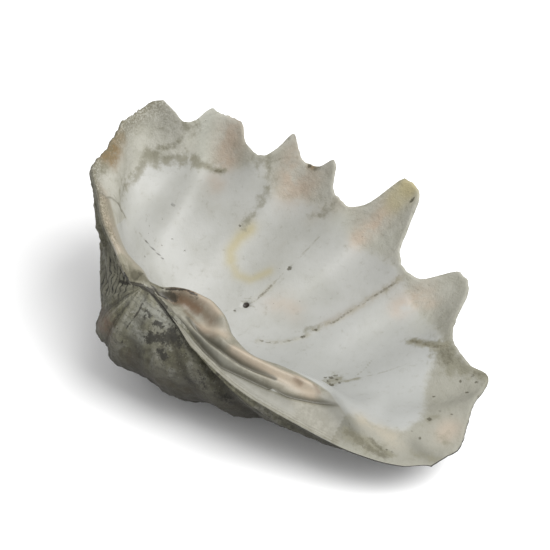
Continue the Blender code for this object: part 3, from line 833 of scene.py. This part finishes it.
class Paint:
    """Short ways to wire a material's nodes."""

    def __init__(self, material):
        material.use_nodes = True
        self.tree = material.node_tree
        self.shader = self.tree.nodes["Principled BSDF"]
        self.place = self.node("ShaderNodeTexCoord").outputs["Object"]

    def node(self, kind):
        return self.tree.nodes.new(kind)

    def link(self, value, socket):
        if isinstance(value, bpy.types.NodeSocket):
            self.tree.links.new(value, socket)
        else:
            socket.default_value = value

    def measure(self, name):
        node = self.node("ShaderNodeAttribute")
        node.attribute_name = name
        return node.outputs["Fac"]

    def math(self, operation, a, b=0.0, c=0.0):
        node = self.node("ShaderNodeMath")
        node.operation = operation
        for value, socket in zip((a, b, c), node.inputs):
            self.link(value, socket)
        return node.outputs[0]

    def fade(self, value, low, high):
        """0 at low and 1 at high, smooth between; low may be the larger."""
        node = self.node("ShaderNodeMapRange")
        node.interpolation_type = "SMOOTHSTEP"
        self.link(value, node.inputs["Value"])
        flip = low > high
        node.inputs["From Min"].default_value = min(low, high)
        node.inputs["From Max"].default_value = max(low, high)
        node.inputs["To Min"].default_value = 1.0 if flip else 0.0
        node.inputs["To Max"].default_value = 0.0 if flip else 1.0
        return node.outputs["Result"]

    def span(self, name, low, high):
        return self.fade(self.measure(name), low, high)

    def ragged(self, name, weight, speckle, low, high):
        """A mark with a broken edge: its measure shifts where the speckle shows."""
        return self.fade(self.math("MULTIPLY_ADD", self.measure(name), weight, speckle), low, high)

    def noise(self, size_mm, detail, rough=0.55):
        node = self.node("ShaderNodeTexNoise")
        self.link(self.place, node.inputs["Vector"])
        node.inputs["Scale"].default_value = 1 / (size_mm * MM)
        node.inputs["Detail"].default_value = detail
        node.inputs["Roughness"].default_value = rough
        return node.outputs["Fac"]

    def cells(self, size_mm):
        node = self.node("ShaderNodeTexVoronoi")
        self.link(self.place, node.inputs["Vector"])
        node.inputs["Scale"].default_value = 1 / (size_mm * MM)
        return node.outputs["Distance"]

    def times(self, *values):
        result = values[0]
        for value in values[1:]:
            result = self.math("MULTIPLY", result, value)
        return result

    def mix(self, share, under, over):
        node = self.node("ShaderNodeMix")
        node.data_type = "RGBA"
        self.link(share, node.inputs["Factor"])
        self.link(under, node.inputs[MIX_UNDER])
        self.link(over, node.inputs[MIX_OVER])
        return node.outputs[MIX_RESULT]

    def coat(self, under, name, *shares):
        """A colour of the palette laid over another, by the product of the shares."""
        return self.mix(self.times(*shares), under, shade(name))

    def mark(self, under, name, *shares):
        """A mark whose measure and colour have the same name, laid over a colour."""
        return self.coat(under, name, self.measure(name), *shares)


def shade(name):
    """A colour of the palette as shader values for the bright light."""
    values = [c / 255 for c in PALETTE[name]]
    linear = [c / 12.92 if c <= 0.04045 else ((c + 0.055) / 1.055) ** 2.4 for c in values]
    return (*(c * SHADE for c in linear), 1.0)


def inside_colour(p):
    """White bowl, mottled marginal band, hinge plate and the marks on them."""
    broad = p.noise(60, 3)
    small = p.noise(9, 5, 0.65)
    fine = p.noise(2.6, 4, 0.7)
    cloud = p.noise(26, 4, 0.6)
    colour = p.coat(shade("bowl"), "bowl_shade", p.fade(broad, 0.35, 0.7))
    colour = p.coat(colour, "bowl_cloud", p.fade(cloud, 0.5, 0.75), 0.35)
    colour = p.coat(colour, "rear_bowl", p.measure("rear"), 0.6)
    edge = p.math("MULTIPLY_ADD", small, 14.0, p.measure("pallial"))
    band = p.fade(edge, 2, 15)
    mottled = p.coat(shade("band"), "band_shade", p.fade(cloud, 0.4, 0.65))
    mottled = p.coat(mottled, "band_mottle", p.fade(small, 0.5, 0.75), 0.5)
    mottled = p.coat(mottled, "band_speck", p.fade(fine, 0.6, 0.74), 0.25)
    mottled = p.coat(mottled, "rear_band", p.measure("rear"), 0.75)
    colour = p.mix(p.times(band, 0.9), colour, mottled)
    colour = p.mark(colour, "ledge", 0.85)
    soft = p.fade(cloud, 0.2, 0.6)
    colour = p.mark(colour, "white", 0.9)
    colour = p.mark(colour, "cream", soft, 0.9)
    colour = p.mark(colour, "pink", soft, 0.8)
    colour = p.mark(colour, "yellow", 0.8)
    colour = p.mark(colour, "ochre", p.fade(small, 0.15, 0.6), 0.9)
    colour = hinge_colour(p, colour, small)
    return inside_marks(p, colour, small, fine)


def hinge_colour(p, colour, small):
    """Hinge plate: grey back-edge laminae, beige tooth, brown swelling, painted shade in grooves,
    painted shadow in the pit.
    """
    plate = p.span("plate", 0.25, 0.8)
    plain = p.coat(shade("plate"), "plate_shade", p.fade(small, 0.35, 0.65))
    plain = p.mark(plain, "pale_grey", 0.8)
    layers = p.math("MULTIPLY_ADD", small, 12.0, p.times(p.measure("edge_gap"), 2.1))
    streaks = p.math("SINE", layers)
    lines = p.times(p.fade(streaks, 0.3, 1.0), p.span("edge_gap", 12.0, 5.0), 0.5)
    plain = p.coat(plain, "lamina", lines)
    colour = p.mix(plate, colour, plain)
    colour = p.mark(colour, "beige", p.fade(small, 0.1, 0.5), 0.9)
    colour = p.mark(colour, "dark_grey", 0.8)
    # Brown stains on the swelling, with painted shade on the face below its crest.
    colour = p.mark(colour, "brown", p.fade(small, 0.15, 0.5), 0.85)
    # Painted shade: the plate's grooves are painted dark.
    groove = p.times(p.span("groove_gap", 4.6, 0.8), plate, 0.85)
    colour = p.coat(colour, "groove", groove)
    # Painted shadow: the pit under the beak, below the hinge ledge, is painted dark.
    pit = p.ragged("pit", 0.45, small, 0.7, 0.95)
    return p.coat(colour, "pit", pit, 0.9)


def inside_marks(p, colour, small, fine):
    """Stains, lines, cracks, pits and the weathered rim."""
    stain = p.ragged("stain", 0.45, small, 0.54, 0.95)
    colour = p.coat(colour, "stain", stain, 0.8)
    dirt = p.ragged("dirt", 0.5, p.noise(5, 5, 0.75), 0.6, 1.0)
    colour = p.coat(colour, "dirt", dirt, 0.8)
    beside = p.times(p.span("line_gap", 7.0, 1.5), p.fade(small, 0.3, 0.62), 0.35)
    colour = p.coat(colour, "beside_line", beside)
    dashes = p.times(p.span("line_gap", 2.4, 0.6), p.fade(p.noise(12, 2), 0.42, 0.56), 0.8)
    colour = p.coat(colour, "line", dashes, p.fade(fine, 0.35, 0.55))
    faint = p.times(p.span("fine_gap", 1.8, 0.5), p.fade(small, 0.36, 0.6), 0.45)
    colour = p.coat(colour, "fine_line", faint)
    scratch = p.times(p.span("scratch_gap", 1.6, 0.5), 0.8)
    colour = p.coat(colour, "scratch", scratch)
    colour = p.coat(colour, "crack", p.span("crack_gap", 2.6, 0.6), 0.7)
    rim = p.times(p.span("rim_gap", 4.5, 0.5), p.fade(small, 0.35, 0.6), 0.6)
    colour = p.coat(colour, "rim", rim)
    crinkled = p.times(p.measure("front"), p.span("rim_gap", 24.0, 2.0), p.fade(fine, 0.4, 0.56))
    colour = p.coat(colour, "front_rim", crinkled, 0.8)
    dot = p.math("MULTIPLY_ADD", fine, 5.0, p.measure("dot"))
    colour = p.coat(colour, "dot", p.fade(dot, 2.2, 3.4), 0.85)
    halo = p.times(p.span("hole_gap", 12.0, 3.0), p.fade(fine, 0.5, 0.65), 0.5)
    colour = p.coat(colour, "hole_halo", halo)
    colour = p.coat(colour, "hole", p.span("hole_gap", 4.8, 3.4))
    specks = p.times(p.fade(p.cells(16), 0.06, 0.035), p.fade(p.noise(45, 2), 0.52, 0.62))
    return p.coat(colour, "speck", specks, 0.6)


def outside_colour(p):
    """Olive-grey weathered outside with chalky worn patches and dark stains, and painted light and
    shade on ribs, wrinkles and underside.
    """
    small = p.noise(8, 5, 0.65)
    fine = p.noise(2.4, 4, 0.7)
    patchy = p.noise(24, 5, 0.65)
    colour = p.coat(shade("outside"), "outside_shade", p.fade(small, 0.35, 0.65))
    colour = p.coat(colour, "chalk", p.fade(patchy, 0.52, 0.64), 0.8)
    dark = p.times(p.fade(patchy, 0.47, 0.37), p.fade(fine, 0.3, 0.6))
    colour = p.coat(colour, "outside_stain", dark, 0.8)
    # Painted light: rib crests are painted paler as a painted highlight, and furrows darker as
    # painted shade.
    ribs = p.math("MULTIPLY_ADD", small, 0.8, p.measure("rib"))
    crest = p.fade(ribs, 0.7, 1.5)
    colour = p.coat(colour, "painted_rib_highlight", crest, 0.45)
    furrow = p.fade(ribs, 0.2, -0.6)
    colour = p.coat(colour, "furrow", furrow, 0.55)
    colour = p.mark(colour, "outer_ochre", p.fade(small, 0.25, 0.6), 0.75)
    colour = p.mark(colour, "outer_pale", p.fade(small, 0.3, 0.55))
    colour = p.mark(colour, "outer_pink", p.fade(small, 0.2, 0.6), 0.8)
    stain = p.ragged("outer_dark", 0.3, p.noise(5, 6, 0.85), 0.68, 0.78)
    colour = p.coat(colour, "outer_dark", stain, 0.9)
    freckles = p.times(p.fade(fine, 0.54, 0.64), p.fade(patchy, 0.44, 0.56), 0.75)
    colour = p.coat(colour, "freckle", freckles)
    flecks = p.times(p.fade(p.noise(3.2, 4, 0.7), 0.55, 0.66), p.fade(small, 0.5, 0.6), 0.55)
    colour = p.coat(colour, "fleck", flecks)
    rings = p.math("SINE", p.math("ADD", p.times(p.math("POWER", p.measure("stage"), 0.7), 165.0),
                                  p.times(small, 9.0)))
    colour = p.coat(colour, "growth_ring", p.fade(rings, 0.3, 1.0), 0.3)
    # Painted shade: the wrinkles are painted dark in their troughs and paler on their crests,
    # following the fold height.
    wrinkled = p.coat(shade("painted_wrinkle_shade"), "wrinkle_crest", p.span("fold", 0.3, 1.1))
    wrinkled = p.coat(wrinkled, "wrinkle_dust", p.fade(small, 0.45, 0.6), 0.6)
    colour = p.mix(p.span("wrinkled", 0.15, 0.6), colour, wrinkled)
    # Painted shade: the outside is painted darker within 16 cm of the floor, where the shell shades
    # its own underside.
    height = p.node("ShaderNodeSeparateXYZ")
    p.link(p.place, height.inputs[0])
    low = p.fade(height.outputs["Z"], 0.16, 0.05)
    return p.coat(colour, "painted_floor_shade", low, 0.9)


def shell_material():
    """One weathered shell material for the whole valve."""
    material = bpy.data.materials.new("weathered_shell_fine")
    p = Paint(material)
    side = p.span("side", 0.35, 0.65)
    colour = p.mix(side, inside_colour(p), outside_colour(p))
    seam = p.ragged("seam", 0.5, p.noise(6, 4, 0.7), 0.72, 0.9)
    colour = p.coat(colour, "seam", seam, 0.85)
    p.link(colour, p.shader.inputs["Base Color"])
    gloss = p.span("pallial", -2.0, 6.0)
    gloss = p.math("MAXIMUM", gloss, side)
    rough = p.math("MULTIPLY_ADD", gloss, 0.3, 0.42)
    p.link(rough, p.shader.inputs["Roughness"])
    p.shader.inputs["Specular IOR Level"].default_value = 0.35
    grain = p.math("ADD", p.noise(1.6, 4, 0.7), p.times(p.noise(6, 4, 0.6), 2.0))
    bump = p.node("ShaderNodeBump")
    bump.inputs["Distance"].default_value = 0.6 * MM
    p.link(p.math("MULTIPLY_ADD", gloss, 0.75, 0.2), bump.inputs["Strength"])
    p.link(grain, bump.inputs["Height"])
    p.link(bump.outputs["Normal"], p.shader.inputs["Normal"])
    return material


def make_floor():
    """Wide pale floor under the valve."""
    mesh = bpy.data.meshes.new("floor")
    corners = [(x * FLOOR_HALF, y * FLOOR_HALF, 0) for x, y in ((-1, -1), (1, -1), (1, 1), (-1, 1))]
    mesh.from_pydata(corners, [], [(0, 1, 2, 3)])
    floor = bpy.data.objects.new("floor", mesh)
    bpy.context.scene.collection.objects.link(floor)
    material = bpy.data.materials.new("pale_floor")
    material.use_nodes = True
    shader = material.node_tree.nodes["Principled BSDF"]
    shader.inputs["Base Color"].default_value = (FLOOR_WHITE, FLOOR_WHITE, FLOOR_WHITE, 1.0)
    shader.inputs["Roughness"].default_value = 0.9
    shader.inputs["Specular IOR Level"].default_value = 0.0
    mesh.materials.append(material)
    return floor


def light_scene():
    """Broad soft light from above on the right, and an even bright surround."""
    data = bpy.data.lights.new("overhead", "AREA")
    data.size = LIGHT_SIZE
    data.energy = LIGHT_POWER
    light = bpy.data.objects.new("overhead", data)
    light.location = LIGHT_PLACE
    aim = Vector(LIGHT_AIM) - Vector(LIGHT_PLACE)
    light.rotation_euler = aim.to_track_quat("-Z", "Y").to_euler()
    bpy.context.scene.collection.objects.link(light)
    world = bpy.data.worlds.new("surround")
    bpy.context.scene.world = world
    world.use_nodes = True
    background = world.node_tree.nodes["Background"]
    background.inputs["Color"].default_value = (1.0, 1.0, 1.0, 1.0)
    background.inputs["Strength"].default_value = SURROUND
    bpy.context.scene.view_settings.view_transform = "Standard"


def make_camera():
    """Camera at the photo's angle: 40 degrees above the floor, rolled by 5 degrees."""
    axes = Matrix((CAMERA_RIGHT, CAMERA_UP, CAMERA_BACK)).transposed()
    place = Vector((-resting_place() * MM).tolist()) + axes @ Vector(CAMERA_OFFSET)
    data = bpy.data.cameras.new("camera")
    data.sensor_width = SENSOR
    data.lens = SENSOR * FOCAL_PIXELS / IMAGE_PIXELS
    camera = bpy.data.objects.new("camera", data)
    camera.matrix_world = Matrix.Translation(place) @ axes.to_4x4()
    bpy.context.scene.collection.objects.link(camera)
    bpy.context.scene.camera = camera


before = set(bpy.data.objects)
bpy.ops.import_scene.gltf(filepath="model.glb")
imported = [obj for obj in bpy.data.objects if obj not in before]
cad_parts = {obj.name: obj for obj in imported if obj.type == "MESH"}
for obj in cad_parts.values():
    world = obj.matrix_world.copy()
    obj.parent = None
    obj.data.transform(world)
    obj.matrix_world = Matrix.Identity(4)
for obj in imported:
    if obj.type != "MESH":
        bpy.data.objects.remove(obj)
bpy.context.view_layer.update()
valve = Valve()
shell = make_valve(signed_pallial(valve), valve)
shell.data.materials.append(shell_material())
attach(shell, "root")
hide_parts("clam_valve")
make_floor()
light_scene()
make_camera()
